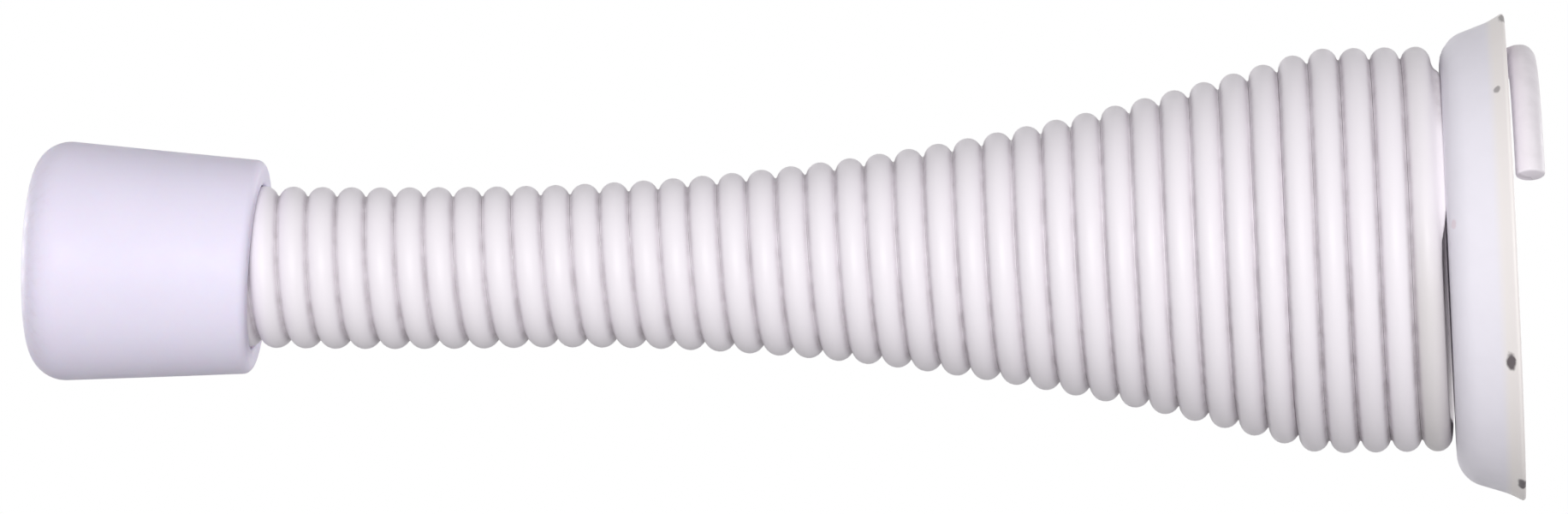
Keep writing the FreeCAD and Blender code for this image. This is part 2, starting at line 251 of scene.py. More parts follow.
def closed_mesh(name, rings, first_pole, last_pole):
    """Object of rings closed by a fan at each end, turned so that its faces point outwards."""
    count, around = rings.shape[:2]
    points = np.concatenate([rings.reshape(-1, 3), [first_pole, last_pole]])
    side = np.arange(around)
    after = (side + 1) % around
    last = (count - 1) * around
    quads = ring_faces(count, around)
    fans = np.concatenate([
        np.stack([after, side, np.full(around, count * around)], axis=1),
        np.stack([last + side, last + after, np.full(around, count * around + 1)], axis=1),
    ])
    corners = points[quads]
    volume = np.einsum("ij,ij->", corners[:, 0], np.cross(corners[:, 1], corners[:, 2]))
    if volume < 0:
        quads = quads[:, ::-1]
        fans = fans[:, ::-1]
    mesh = bpy.data.meshes.new(name)
    mesh.from_pydata(points.tolist(), [], quads.tolist() + fans.tolist())
    return smooth_object(name, mesh)


def outward_object(name, points, faces):
    """Object of a closed mesh, smooth, with its faces turned outwards."""
    mesh = bpy.data.meshes.new(name)
    mesh.from_pydata(points.tolist(), [], faces.tolist())
    shell = bmesh.new()
    shell.from_mesh(mesh)
    bmesh.ops.recalc_face_normals(shell, faces=shell.faces)
    shell.to_mesh(mesh)
    shell.free()
    return smooth_object(name, mesh)


def add_point_values(made, name, values):
    """Store one number for each vertex under a name that materials can read."""
    attribute = made.data.attributes.new(name, "FLOAT", "POINT")
    attribute.data.foreach_set("value", np.asarray(values, dtype=np.float32))


def lean_points(points, coil, along, rise, extra):
    """Points of a piece on the coil's leaning axis.

    They are turned about Y by the lean and an extra angle, then moved along that axis and above it.
    """
    angle = coil.lean + extra
    turned = np.empty_like(points)
    turned[..., 0] = points[..., 0] * math.cos(angle) + points[..., 2] * math.sin(angle)
    turned[..., 1] = points[..., 1]
    turned[..., 2] = points[..., 2] * math.cos(angle) - points[..., 0] * math.sin(angle)
    turned[..., 0] += along * math.cos(coil.lean) + rise * math.sin(coil.lean)
    turned[..., 2] += coil.lift - along * math.sin(coil.lean) + rise * math.cos(coil.lean)
    return turned


def flare_end(coil):
    """Place along the axis where the flare meets the even wide end."""
    return coil.seat_place - coil.wide_length


def bent_axis(coil, along):
    """Axis at a place along the coil, as its place along X, its height and its tilt.

    It is straight up to the neck, and from there on an arc.
    """
    bend_radius = (coil.neck_length + coil.hidden_length / 2) / coil.neck_bend
    beyond = np.maximum(flare_end(coil) - coil.flare_length - along, 0.0)
    tilt = beyond / bend_radius
    return along + beyond - bend_radius * np.sin(tilt), bend_radius * (1 - np.cos(tilt)), tilt


def wire_outward(coil, turn):
    """Direction from the axis to the wire: round the axis by the turn, and tilted with the bent neck."""
    tilt = bent_axis(coil, wire_along(coil, turn))[2]
    angle = math.radians(FRONT_ANGLE) + math.tau * turn
    return np.stack([np.cos(angle) * np.sin(tilt), -np.sin(angle), np.cos(angle) * np.cos(tilt)], axis=-1)


def wire_along(coil, turn):
    """Place along the axis at a turn, counted from the front of the turn that sits on the cup.

    Even pitch on the coil and on the tail. Between them a smooth step carries the wire through the cup.
    """
    pitch = coil.wire_diameter + coil.turn_gap
    wide_pitch = coil.wire_diameter + coil.wide_turn_gap
    wide_start = -coil.wide_length / wide_pitch
    top = math.radians(TOP_ANGLE - FRONT_ANGLE) / math.tau
    ramp_from = (coil.ramp_start - math.radians(FRONT_ANGLE)) / math.tau
    on_coil = coil.seat_place + turn * wide_pitch
    on_tail = coil.tail_setback + (turn - top) * wide_pitch
    wound = on_coil + (on_tail - on_coil) * eased((turn - ramp_from) * math.tau / coil.ramp_angle)
    return np.where(turn < wide_start, flare_end(coil) + (turn - wide_start) * pitch, wound)


def wire_centre(coil, turn):
    """Centre line: a helix whose radius grows with the square of the way along the flare."""
    along = wire_along(coil, turn)
    share = np.clip((along - flare_end(coil)) / coil.flare_length + 1.0, 0.0, 1.0)
    radius = coil.narrow_radius + (coil.wide_radius - coil.narrow_radius) * share * share
    axis_along, axis_rise, _ = bent_axis(coil, along)
    axis = np.stack([axis_along, np.zeros_like(along), axis_rise], axis=-1)
    return axis + wire_outward(coil, turn) * radius[..., None]


def wire_turns(coil):
    """First and last turn of the wire."""
    pitch = coil.wire_diameter + coil.turn_gap
    wide_start = -coil.wide_length / (coil.wire_diameter + coil.wide_turn_gap)
    first = wide_start - (coil.flare_length + coil.neck_length + coil.hidden_length) / pitch
    last = (math.radians(TOP_ANGLE - FRONT_ANGLE) + coil.tail_angle) / math.tau
    return first, last


def wire_frame(coil, turn):
    """Centre, tangent, outward and sideways directions of the wire, each a row for every turn."""
    centre = wire_centre(coil, turn)
    tangent = wire_centre(coil, turn + SLOPE_TURNS) - wire_centre(coil, turn - SLOPE_TURNS)
    tangent /= np.linalg.norm(tangent, axis=1, keepdims=True)
    outward = wire_outward(coil, turn)
    outward -= tangent * np.sum(outward * tangent, axis=1, keepdims=True)
    outward /= np.linalg.norm(outward, axis=1, keepdims=True)
    return centre, tangent, outward, np.cross(tangent, outward)


def web_share(coil, turn):
    """Share of the enamel between the last turn and the cup: 1 inside its angles, and 0 outside."""
    angle = math.radians(FRONT_ANGLE) + math.tau * turn
    return eased((angle - coil.web_start) / coil.web_fade) * eased((coil.web_end - angle) / coil.web_fade)


def film_side(coil, cup, turn, toward, frame_rows):
    """Enamel between a turn and the next one, or the one before, as points across and outward of the wire.

    The film is an arc, hollow outwards, that is tangent to both wires: its centre lies as far from a wire's
    centre as both radii together, above the middle between the wires. It fades to the bare round wire where
    there is no neighbour, and where the neighbour is too far off. On the upper half of the last turn, the
    cup's plate takes the place of the middle between wires. Also gives the angles of the neighbour and of
    the tangent point, from straight outward.
    """
    centre, _, outward, sideways = frame_rows
    first, last = wire_turns(coil)
    offset = wire_centre(coil, turn + toward) - centre
    half = np.linalg.norm(offset, axis=1) / 2 - coil.film_split
    radius = np.full_like(turn, coil.film_radius)
    wire_radius = coil.wire_diameter / 2
    turns_left = last - 1 - turn if toward > 0 else turn - first - 1
    share = eased(turns_left / FADE_TURNS) * eased((wire_radius + radius - half) / (radius / 2))
    if toward > 0:
        web = web_share(coil, turn)
        on_web = web > 0
        to_plate = -cup.depth - centre[:, 0] * math.cos(coil.lean) - centre[:, 2] * math.sin(coil.lean)
        half = np.where(on_web, to_plate + coil.film_split, half)
        radius = np.where(on_web, coil.web_radius, radius)
        share = np.where(on_web, web, share)
        offset = np.where(on_web[:, None], np.array([1.0, 0.0, 0.0]), offset)
    neighbour = np.arctan2(np.sum(offset * sideways, axis=1), np.sum(offset * outward, axis=1))
    joint = wire_radius + radius
    rise = np.arccos(np.minimum(half / joint, 1.0))

    along_arc = np.linspace(0.0, 1.0, coil.film_points)
    swing = math.pi / 2 + along_arc * (math.pi / 2 - rise[:, None])
    film_across = (joint * np.cos(rise))[:, None] + radius[:, None] * np.cos(swing)
    film_out = (joint * np.sin(rise))[:, None] - radius[:, None] * np.sin(swing)
    bare = along_arc * math.acos(wire_radius / (wire_radius + coil.film_radius))
    across = film_across * share[:, None] + wire_radius * np.cos(bare) * (1 - share[:, None])
    out = film_out * share[:, None] + wire_radius * np.sin(bare) * (1 - share[:, None])
    tangent_point = np.arctan2(out[:, -1], across[:, -1])
    return across, out, neighbour, tangent_point


def wire_section(coil, cup, turn, frame_rows):
    """Section of the enamelled wire at each turn, as distances outward and sideways from its centre.

    Round the wire in order: the film toward the next turn, the open outer arc, the film toward the turn
    before, and the inner arc.
    """
    after_across, after_out, after, after_rise = film_side(coil, cup, turn, 1.0, frame_rows)
    before_across, before_out, before, before_rise = film_side(coil, cup, turn, -1.0, frame_rows)
    wire_radius = coil.wire_diameter / 2
    outer_share = np.linspace(0.0, 1.0, coil.outer_points + 2)[1:-1]
    inner_share = np.linspace(0.0, 1.0, coil.inner_points + 2)[1:-1]
    outer_from = (after + after_rise)[:, None]
    outer = outer_from + (before - before_rise - after - after_rise)[:, None] * outer_share
    inner = before[:, None] + (math.tau + after - before)[:, None] * inner_share
    angles = np.concatenate([
        after[:, None] + np.arctan2(after_out, after_across),
        outer,
        before[:, None] - np.arctan2(before_out, before_across)[:, ::-1],
        inner,
    ], axis=1)
    reach = np.concatenate([
        np.hypot(after_out, after_across),
        np.full_like(outer, wire_radius),
        np.hypot(before_out, before_across)[:, ::-1],
        np.full_like(inner, wire_radius),
    ], axis=1)
    return reach * np.cos(angles), reach * np.sin(angles)


def wire_rings(coil, cup):
    """Enamelled section carried along the centre line, with a quarter round at each cut end.

    Also gives how far each point faces away from the axis, held at 1 on the last turn's open side, where no
    neighbour makes a crease, so that no dust and no painted crease shade fall there.
    """
    first, last = wire_turns(coil)
    turn = np.linspace(first, last, int((last - first) * coil.turn_stations))
    frame_rows = wire_frame(coil, turn)
    centre, tangent, outward, sideways = frame_rows
    out, across = wire_section(coil, cup, turn, frame_rows)

    rounds = np.linspace(0.0, math.pi / 2, coil.cut_points)
    wire_radius = coil.wire_diameter / 2
    end_scale = 1 - coil.cut_round * (1 - np.sin(rounds)) / wire_radius
    end_reach = coil.cut_round * (1 - np.cos(rounds))
    body = slice(1, -1)
    scale = np.concatenate([end_scale, np.ones(len(turn) - 2), end_scale[::-1]])
    start_rows = np.zeros(len(rounds), dtype=int)
    end_rows = np.full(len(rounds), len(turn) - 1)
    rows = np.concatenate([start_rows, np.arange(len(turn))[body], end_rows])
    reach = np.concatenate([end_reach, np.zeros(len(turn) - 2), -end_reach[::-1]])
    hub = centre[rows] + tangent[rows] * reach[:, None]

    out = out[rows]
    across = across[rows]
    spoke = outward[rows][:, None, :] * out[..., None] + sideways[rows][:, None, :] * across[..., None]
    rings = hub[:, None, :] + spoke * scale[:, None, None]
    open_side = 1 - eased((last - 1 - turn[rows]) / FADE_TURNS)
    # Held at 1 where no neighbour makes a crease: no dust and no painted crease shade there
    without_crease_darkening = np.where(across < 0, open_side[:, None], 0.0)
    facing = out / np.hypot(out, across) * (1 - without_crease_darkening) + without_crease_darkening
    return rings, centre[0], centre[-1], facing


def tip_profile(tip):
    """Profile of the tip from the middle of its striking face round to the bottom of its socket.

    The mouth is at zero and the striking face at minus the length. Straight runs join arcs that are tangent
    to the end face, the tapered side, the mouth and the socket.
    """
    taper = math.degrees(math.atan2(tip.end_radius - tip.mouth_radius, tip.tip_length))
    slope = math.tan(math.radians(taper))
    lean = 1 / math.cos(math.radians(taper))
    strike = -tip.tip_length
    corner_x = strike + tip.corner_radius
    corner = (corner_x, tip.mouth_radius - corner_x * slope - tip.corner_radius * lean)
    lip = (-tip.lip_radius, tip.mouth_radius + tip.lip_radius * slope - tip.lip_radius * lean)
    side = 90.0 - taper
    inner_lip = (-tip.inner_lip_radius, tip.socket_radius + tip.inner_lip_radius)
    corner_arc = arc(corner, tip.corner_radius, 180.0, side, count=20)
    lip_arc = arc(lip, tip.lip_radius, side, 0.0, count=10)
    inner_arc = arc(inner_lip, tip.inner_lip_radius, 360.0, 270.0, count=6)
    floor_edge = (-tip.socket_depth, tip.socket_radius)
    return np.concatenate([
        run((strike, 0.0), corner_arc[0], count=10),
        corner_arc,
        run(corner_arc[-1], lip_arc[0], count=30),
        lip_arc,
        run(lip_arc[-1], inner_arc[0], count=2),
        inner_arc,
        run(inner_arc[-1], floor_edge, count=12),
        [floor_edge],
        run(floor_edge, (-tip.socket_depth, 0.0), count=4),
    ])


def turned_rings(profile, sides):
    """Rings of a profile turned about X: each point keeps its place along X and goes round at its radius."""
    around = np.linspace(0.0, math.tau, sides, endpoint=False)
    along = np.broadcast_to(profile[:, :1], (len(profile), sides))
    return np.stack([
        along,
        profile[:, 1:] * np.sin(around),
        profile[:, 1:] * np.cos(around),
    ], axis=-1)


def cup_slopes(cup):
    """Slopes of the wall and of the lip: widening for each length along the axis."""
    wall = (cup.rim_radius - cup.lip_flare - cup.corner_radius) / (cup.depth - cup.lip_length)
    return wall, cup.lip_flare / cup.lip_length


def cup_side(cup, inset, edge_place):
    """One side of the sheet from the hole to its edge at the rim, as places along X and radii.

    A flat plate, an arc for the shoulder, a sloped wall, then the lip, whose extra slope comes in over a
    parabola. The inset is 0 on the outer side and the sheet's thickness on the inner side.
    """
    wall_slope, lip_slope = cup_slopes(cup)
    wall_angle = math.atan(wall_slope)
    lip_angle = math.atan(lip_slope)
    shoulder_run = cup.shoulder_radius * math.tan((math.pi / 2 - wall_angle) / 2)
    hub = (cup.shoulder_radius - cup.depth, cup.corner_radius - shoulder_run)
    wall_start = 90.0 + math.degrees(wall_angle)
    shoulder = arc(hub, cup.shoulder_radius - inset, 180.0, wall_start, SHOULDER_POINTS)
    bend_shift = math.sin((wall_angle + lip_angle) / 2) / math.cos((lip_angle - wall_angle) / 2)
    bend_place = inset * bend_shift - cup.lip_length
    along = np.linspace(shoulder[-1, 0], edge_place, num=80)[1:]
    past = along - bend_place
    in_bend = np.clip(past + cup.lip_blend, 0.0, 2 * cup.lip_blend)
    flared = in_bend * in_bend / (4 * cup.lip_blend) + np.maximum(past - cup.lip_blend, 0.0)
    radius = shoulder[-1, 1] + (along - shoulder[-1, 0]) * wall_slope + flared * (lip_slope - wall_slope)
    plate = [(inset - cup.depth, cup.hole_radius)]
    return np.concatenate([plate, shoulder, np.stack([along, radius], axis=1)])


def cup_sides_and_rim(cup):
    """Outer side, rim and inner side of the sheet. The rim is an arc at each edge, tangent to its side."""
    lip_slope = cup_slopes(cup)[1]
    lip_angle = math.degrees(math.atan(lip_slope))
    outer_run = cup.rim_edge / math.tan(math.radians(90.0 - lip_angle) / 2)
    inner_run = cup.inner_rim_edge / math.tan(math.radians(90.0 + lip_angle) / 2)
    inner_rim = cup.rim_radius - cup.sheet * math.hypot(1.0, lip_slope)
    outer_hub = (-cup.rim_edge, cup.rim_radius - outer_run)
    inner_hub = (-cup.inner_rim_edge, inner_rim + inner_run)
    shorten = math.cos(math.radians(lip_angle))
    outer = cup_side(cup, 0.0, -outer_run * shorten)
    inner = cup_side(cup, cup.sheet, -inner_run * shorten)
    rim = np.concatenate([
        arc(outer_hub, cup.rim_edge, 90.0 + lip_angle, 0.0, count=9),
        arc(inner_hub, cup.inner_rim_edge, 0.0, lip_angle - 90.0, count=7),
    ])
    return outer, rim[1:-1], inner


def slot_span(coil, cup):
    """First and last angle of the slot.

    It starts before the angle at which the wire would touch the plate, going by its pitch and its lean. It
    ends where the wire's ramp has left the sheet, going by the ramp's slope at its middle.
    """
    pitch = coil.wire_diameter + coil.wide_turn_gap
    front = math.radians(FRONT_ANGLE)
    seat_gap = -coil.seat_place - cup.depth - coil.wire_diameter / 2
    lean_reach = coil.wide_radius * math.sin(coil.lean)
    start = front + math.tau * (seat_gap + lean_reach) / pitch - cup.slot_lead
    middle = coil.ramp_start + coil.ramp_angle / 2
    depth = pitch * (middle - front) / math.tau + lean_reach - seat_gap
    travel = coil.tail_setback - coil.seat_place - pitch * (TOP_ANGLE - FRONT_ANGLE) / FULL_CIRCLE
    share = 0.5 + ((cup.sheet + coil.wire_diameter - depth) / travel - 0.5) / RAMP_STEEPNESS
    return start, coil.ramp_start + coil.ramp_angle * share + cup.slot_margin


def cup_rows(cup, slot_inside, slot_outside, edge_radius):
    """Radii of the grid's rows from the hole to the edge, close together beside the hole and the slot."""
    close = cup.cut_round * EDGE_STEPS
    return np.concatenate([
        cup.hole_radius + close,
        np.linspace(cup.hole_radius + cup.cut_round, slot_inside - cup.cut_round, num=12)[1:-1],
        slot_inside - close[::-1],
        np.linspace(slot_inside, slot_outside, num=6)[1:-1],
        slot_outside + close,
        np.linspace(slot_outside + cup.cut_round, edge_radius, num=44)[1:],
    ])


def cup_sheet_rings(coil, cup, side, angles, slot, inward):
    """Rings of one side of the sheet, on a polar grid whose middle follows the slot and then the rim.

    A point's place along X is the side's profile at its true radius. Next to the hole and the slot it sinks
    into the sheet by a quarter round: the rounding less the root of its square less the square of what is
    left of it.
    """
    first_angle, last_angle, slot_inside, slot_outside, slot_height = slot
    rows = cup_rows(cup, slot_inside, slot_outside, side[-1, 1])
    near_hole = cup.hole_radius + cup.cut_round
    near_slot = slot_outside + cup.cut_round
    rise = eased((rows - near_hole) / (slot_inside - near_hole - 3 * cup.cut_round))
    rise *= 1.0 - eased((rows - near_slot) / (side[-1, 1] - near_slot))
    across = -rows[:, None] * np.sin(angles)
    up = rows[:, None] * np.cos(angles) + slot_height * rise[:, None]
    along = np.interp(np.hypot(across, up), side[:, 1], side[:, 0])

    beside = np.maximum(np.maximum(slot_inside - rows, rows - slot_outside), 0.0)
    round_to_slot = np.minimum(angles - last_angle, first_angle + math.tau - angles)
    past = np.where(angles > last_angle, round_to_slot, 0.0)
    to_slot = np.hypot(beside[:, None], past[None, :] * coil.wide_radius)
    to_hole = (rows - cup.hole_radius)[:, None]
    left = np.clip(cup.cut_round - np.minimum(to_slot, to_hole), 0.0, cup.cut_round)
    along = along + inward * (cup.cut_round - np.sqrt(cup.cut_round ** 2 - left ** 2))
    return rows, np.stack([along, across, up], axis=-1)


def cup_angles(coil, cup, first_angle, last_angle):
    """Angles of the grid's columns, with columns on the slot's ends and close together beside them."""
    close = cup.cut_round / coil.wide_radius * EDGE_STEPS[1:]
    slot_columns = round(cup.sides * (last_angle - first_angle) / math.tau)
    in_slot = np.linspace(first_angle, last_angle, slot_columns)
    before = first_angle + math.tau - close[::-1]
    rest = np.linspace(last_angle + close[-1], before[0], cup.sides - slot_columns)
    return np.concatenate([in_slot, last_angle + close, rest[1:-1], before]), slot_columns


def cup_mesh(name, coil, cup):
    """Pressed cup: both sides of the sheet and its rim as one closed grid, open at the hole and the slot."""
    outer, rim, inner = cup_sides_and_rim(cup)
    first_angle, last_angle = slot_span(coil, cup)
    half_slot = coil.wire_diameter / 2 + cup.slot_clearance
    slot_height = coil.lift + cup.depth * math.tan(coil.lean)
    slot = (first_angle, last_angle, coil.wide_radius - half_slot, coil.wide_radius + half_slot, slot_height)
    angles, slot_columns = cup_angles(coil, cup, first_angle, last_angle)
    rows, front = cup_sheet_rings(coil, cup, outer, angles, slot, 1.0)
    back = cup_sheet_rings(coil, cup, inner, angles, slot, -1.0)[1]
    rim_rings = np.stack([
        np.broadcast_to(rim[:, :1], (len(rim), len(angles))),
        -rim[:, 1:] * np.sin(angles),
        rim[:, 1:] * np.cos(angles),
    ], axis=-1)
    rings = np.concatenate([front, rim_rings, back[::-1]])
    count, around = rings.shape[:2]

    number = np.arange(count * around).reshape(count, around)
    after = np.roll(number, -1, axis=1)
    quads = np.stack([number, after, np.roll(after, -1, axis=0), np.roll(number, -1, axis=0)], axis=-1)
    low_row = int(np.argmin(np.abs(rows - slot[2])))
    high_row = int(np.argmin(np.abs(rows - slot[3])))
    kept = np.ones((count, around), dtype=bool)
    kept[low_row:high_row, :slot_columns - 1] = False
    kept[count - 1 - high_row:count - 1 - low_row, :slot_columns - 1] = False
    column_run = np.arange(slot_columns)
    row_run = np.arange(low_row, high_row + 1)
    loop_rows = np.concatenate([
        np.full(slot_columns, low_row), row_run[1:],
        np.full(slot_columns - 1, high_row), row_run[::-1][1:],
    ])
    loop_columns = np.concatenate([
        column_run, np.full(len(row_run) - 1, slot_columns - 1),
        column_run[::-1][1:], np.zeros(len(row_run) - 1, dtype=int),
    ])
    near = number[loop_rows, loop_columns]
    far = number[count - 1 - loop_rows, loop_columns]
    walls = np.stack([near[:-1], near[1:], far[1:], far[:-1]], axis=-1)
    faces = np.concatenate([quads[kept], walls])
    used, renumbered = np.unique(faces, return_inverse=True)
    points = rings.reshape(-1, 3)[used]
    return outward_object(name, points, renumbered.reshape(faces.shape))


class Finish:
    """Node tree of one material, with short ways to add and join nodes."""

    def __init__(self, name):
        self.material = bpy.data.materials.new(name)
        self.material.use_nodes = True
        self.nodes = self.material.node_tree.nodes
        self.links = self.material.node_tree.links
        self.shader = self.nodes["Principled BSDF"]
        self.place = self.add("ShaderNodeTexCoord").outputs["Object"]

    def add(self, kind, **values):
        """New node with the given settings."""
        node = self.nodes.new(kind)
        for name, value in values.items():
            setattr(node, name, value)
        return node

    def feed(self, socket, source):
        """Set a socket, or link it when the source is another node's output."""
        if isinstance(source, bpy.types.NodeSocket):
            self.links.new(source, socket)
        else:
            socket.default_value = source

    def give(self, name, source):
        """Set one of the shader's own sockets, or link it."""
        self.feed(self.shader.inputs[name], source)

    def axis(self, name):
        """Place along one axis of the piece's own coordinates."""
        node = self.add("ShaderNodeSeparateXYZ")
        self.feed(node.inputs[0], self.place)
        return node.outputs[name]

    def stored(self, name):
        """Number that is stored for each vertex under a name."""
        return self.add("ShaderNodeAttribute", attribute_name=name).outputs["Fac"]

    def math(self, operation, first, second=0.0):
        """Result of an operation on two numbers."""
        node = self.add("ShaderNodeMath", operation=operation)
        self.feed(node.inputs[0], first)
        self.feed(node.inputs[1], second)
        return node.outputs[0]

    def noise(self, scale, detail=3.0, roughness=0.5):
        """Noise on the piece's own coordinates, from 0 to 1."""
        node = self.add("ShaderNodeTexNoise")
        self.feed(node.inputs["Vector"], self.place)
        self.feed(node.inputs["Scale"], scale)
        self.feed(node.inputs["Detail"], detail)
        self.feed(node.inputs["Roughness"], roughness)
        return node.outputs["Fac"]

    def spread(self, value, low, high, out_low=0.0, out_high=1.0):
        """Value eased from one range to another and held at its ends."""
        node = self.add("ShaderNodeMapRange", interpolation_type="SMOOTHSTEP")
        self.feed(node.inputs["Value"], value)
        self.feed(node.inputs["From Min"], low)
        self.feed(node.inputs["From Max"], high)
        self.feed(node.inputs["To Min"], out_low)
        self.feed(node.inputs["To Max"], out_high)
        return node.outputs["Result"]

    def mix(self, share, first, second):
        """Colour mixed by a share."""
        node = self.add("ShaderNodeMix", data_type="RGBA")
        self.feed(node.inputs["Factor"], share)
        self.feed(node.inputs["A"], first if isinstance(first, bpy.types.NodeSocket) else (*first, 1.0))
        self.feed(node.inputs["B"], second if isinstance(second, bpy.types.NodeSocket) else (*second, 1.0))
        return node.outputs["Result"]

    def bump(self, height, strength, distance):
        """Fine relief on the shader's normal."""
        node = self.add("ShaderNodeBump")
        self.feed(node.inputs["Strength"], strength)
        self.feed(node.inputs["Distance"], distance)
        self.feed(node.inputs["Height"], height)
        self.feed(self.shader.inputs["Normal"], node.outputs["Normal"])

    def spot(self, centre, half_size, ragged):
        """Share of a ragged spot: 1 at its centre, 0 outside, with a noisy edge."""
        offset = self.add("ShaderNodeVectorMath", operation="SUBTRACT")
        self.feed(offset.inputs[0], self.place)
        self.feed(offset.inputs[1], centre)
        scaled = self.add("ShaderNodeVectorMath", operation="DIVIDE")
        self.feed(scaled.inputs[0], offset.outputs[0])
        self.feed(scaled.inputs[1], half_size)
        size = self.add("ShaderNodeVectorMath", operation="LENGTH")
        self.feed(size.inputs[0], scaled.outputs[0])
        edge = self.math("MULTIPLY", self.noise(scale=2600.0), ragged)
        total = self.math("ADD", size.outputs["Value"], edge)
        mean_edge = ragged / 2
        return self.spread(total, mean_edge + 0.4, mean_edge + 0.75, out_low=1.0, out_high=0.0)


def darker(value, share):
    """Colour darkened to a share of itself."""
    return [share * part for part in value]


def bake(finish, peel_scale, peel_strength):
    """Satin gloss of baked enamel, a little uneven, with faint orange peel."""
    gloss = finish.noise(scale=1500.0)
    finish.give("Roughness", finish.spread(gloss, low=0.3, high=0.7, out_low=0.38, out_high=0.5))
    finish.give("Specular IOR Level", 0.22)
    finish.bump(finish.noise(peel_scale, detail=2.0), peel_strength, distance=0.06 * MM)


def wire_enamel(colours, coil):
    """Baked enamel on the wire.

    Dust and painted shade sit between the turns, with more painted shade toward the bottom. The tail carries
    painted shade too, and the lower half of the turn beside the cup is darker.
    """
    finish = Finish("wire_enamel")
    facing = finish.stored("facing")
    along = finish.axis("X")
    height = finish.axis("Z")

    # Painted crease shade, with some dust: darker where the wire faces its neighbours
    outer = finish.spread(facing, low=0.3, high=0.8, out_low=1.0, out_high=0.0)
    inner = finish.spread(facing, low=-0.5, high=0.1)
    # Painted shade: the creases darken toward the bottom
    below = finish.spread(height, low=-6.0 * MM, high=3.0 * MM, out_low=1.0, out_high=0.68)
    crease = finish.math("MULTIPLY", finish.math("MULTIPLY", outer, inner), below)
    # Painted shade on the tail behind the rim
    tail = finish.spread(along, low=0.0, high=1.2 * MM, out_high=0.3)
    patches = finish.noise(scale=900.0, detail=4.0, roughness=0.6)
    patches = finish.spread(patches, low=0.35, high=0.7, out_low=0.6)
    dust_and_shade = finish.math("MULTIPLY", finish.math("MAXIMUM", crease, tail), patches)

    # Darker tone on the lower half of the turn beside the cup
    turn_edge = coil.seat_place - (coil.wire_diameter + coil.wide_turn_gap) / 2
    last_turn = finish.spread(along, low=turn_edge - 0.1 * MM, high=turn_edge + 0.1 * MM)
    lower_half = finish.spread(height, low=-3.0 * MM, high=4.0 * MM, out_low=0.9, out_high=0.2)
    behind = finish.spread(along, low=coil.seat_place + coil.wire_diameter, high=0.0)
    painted = finish.mix(finish.math("MULTIPLY", last_turn, lower_half), colours.enamel, colours.darker_beside_cup)
    painted = finish.mix(behind, painted, colours.enamel)
    # Dust and painted shade mixed into the enamel's colour
    finish.give("Base Color", finish.mix(dust_and_shade, painted, colours.grime_and_shade))
    bake(finish, peel_scale=2400.0, peel_strength=0.12)
    return finish.material


CHIPS = (
    # Angle above the front in degrees, setback from the rim, half sizes round it and along X in mm, share
    (-25.0, 0.55, 0.85, 0.42, 0.95),
    (-68.0, 0.2, 1.2, 0.38, 1.0),
    (44.0, 0.62, 0.42, 0.32, 0.6),
    (79.0, 0.1, 1.8, 0.4, 0.7),
)


def lip_place(cup, angle, setback):
    """Point on the lip's outer side at an angle above the front and a setback from the rim."""
    radius = cup.rim_radius - setback * cup_slopes(cup)[1]
    return -setback, -radius * math.cos(angle), radius * math.sin(angle)


def shoulder_place(cup, angle, share):
    """Point on the shoulder's round at an angle above the front, from 0 at the plate to 1 at the wall."""
    outer = cup_side(cup, 0.0, 0.0)
    along, radius = outer[1 + round(share * (SHOULDER_POINTS - 1))]
    return along, -radius * math.cos(angle), radius * math.sin(angle)


def cup_enamel(colours, cup):
    """Baked enamel on the cup: mottled, cream on the lip, stained on the shoulder and chipped at the rim."""
    finish = Finish("cup_enamel")
    mottle = finish.noise(scale=420.0, detail=4.0, roughness=0.6)
    mottle = finish.spread(mottle, low=0.35, high=0.75, out_high=0.3)
    painted = finish.mix(mottle, colours.cup_white, darker(colours.cup_white, 0.93))
    lip_start = -cup.lip_length
    lip = finish.spread(finish.axis("X"), lip_start - cup.lip_blend, lip_start + cup.lip_blend, out_high=0.8)
    painted = finish.mix(lip, painted, colours.yellowed)
    stain_place = shoulder_place(cup, angle=math.radians(9.5), share=0.5)
    stain = finish.spot(stain_place, half_size=(0.35 * MM, 0.4 * MM, 0.45 * MM), ragged=0.8)
    painted = finish.mix(finish.math("MULTIPLY", stain, 0.45), painted, colours.stain)
    bare = 0.0
    for angle, setback, half_round, half_along, share in CHIPS:
        half_size = (half_along * MM, half_round * MM, half_round * MM)
        chip = finish.spot(lip_place(cup, math.radians(angle), setback * MM), half_size, ragged=0.5)
        bare = finish.math("MAXIMUM", bare, finish.math("MULTIPLY", chip, share))
    finish.give("Base Color", finish.mix(bare, painted, colours.bare_steel))
    bake(finish, peel_scale=2000.0, peel_strength=0.1)
    return finish.material


def tip_vinyl(colours):
    """Soft moulded vinyl: satin, slightly see-into, with faint cloudiness and scuffs on the striking end."""
    finish = Finish("tip_vinyl")
    cloud = finish.noise(scale=260.0, detail=3.0, roughness=0.55)
    cloud = finish.spread(cloud, low=0.3, high=0.75, out_high=0.35)
    body = finish.mix(cloud, colours.vinyl, darker(colours.vinyl, 0.95))
    scuffs = finish.noise(scale=1600.0, detail=5.0, roughness=0.7)
    scuffs = finish.spread(scuffs, low=0.45, high=0.75, out_high=0.4)
    worn = finish.math("MULTIPLY", finish.stored("struck"), scuffs)
    finish.give("Base Color", finish.mix(worn, body, colours.scuff))
    gloss = finish.noise(scale=900.0)
    finish.give("Roughness", finish.spread(gloss, low=0.3, high=0.7, out_low=0.42, out_high=0.55))
    finish.give("Specular IOR Level", 0.2)
    finish.give("Subsurface Weight", 0.15)
    finish.give("Subsurface Scale", 2.0 * MM)
    finish.bump(finish.noise(scale=3000.0, detail=3.0), strength=0.12, distance=0.05 * MM)
    return finish.material


